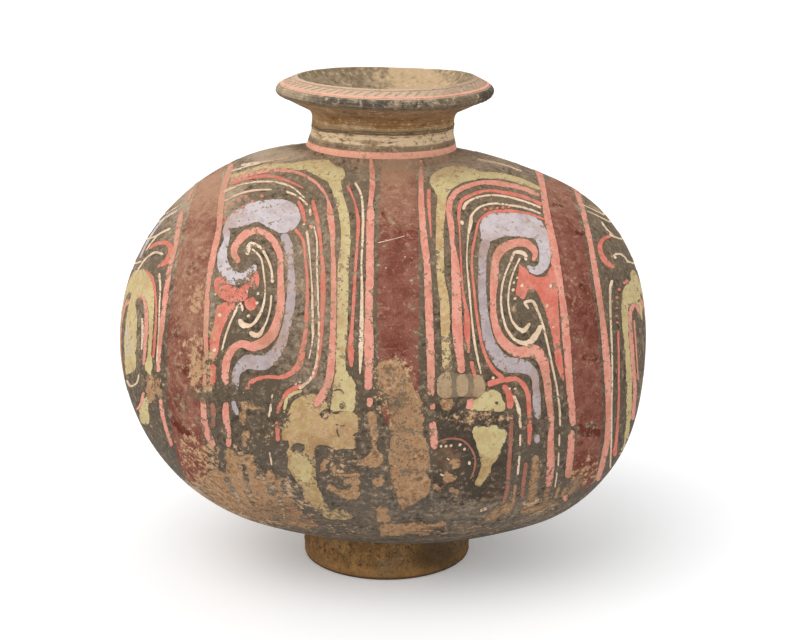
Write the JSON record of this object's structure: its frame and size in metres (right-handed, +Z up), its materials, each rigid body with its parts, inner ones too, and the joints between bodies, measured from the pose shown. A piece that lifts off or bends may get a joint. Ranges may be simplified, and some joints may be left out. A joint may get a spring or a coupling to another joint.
{
  "type": "cocoon jar",
  "caption": "Painted earthenware cocoon jar: a hollow ovoid body lying on its side, with a flared neck, a turned collar and a ring foot to stand on.",
  "frame": {"origin": "on the ground, under the middle of the jar's length and width", "axes": "+Z up through the neck, +X along the long axis towards the flatter end, -Y towards the viewer of the picture"},
  "size_m": [0.2996, 0.232, 0.2814],
  "materials": {
    "painted_body": "low-fired earthenware under a dark slip, cold-painted in matt mineral colours, worn",
    "neck_clay": "low-fired earthenware, dry and matt, with olive-tan soil stain",
    "foot_clay": "low-fired earthenware, rough, with ochre earth crust",
    "bare_clay": "low-fired earthenware, bare, finger-smoothed"
  },
  "bodies": {
    "root": {"body_left": "painted_body", "body_right": "painted_body", "seam_coil": "bare_clay", "neck": "neck_clay", "neck_collar": "neck_clay", "foot_ring": "foot_clay", "foot_coil": "bare_clay"}
  },
  "joints": []
}
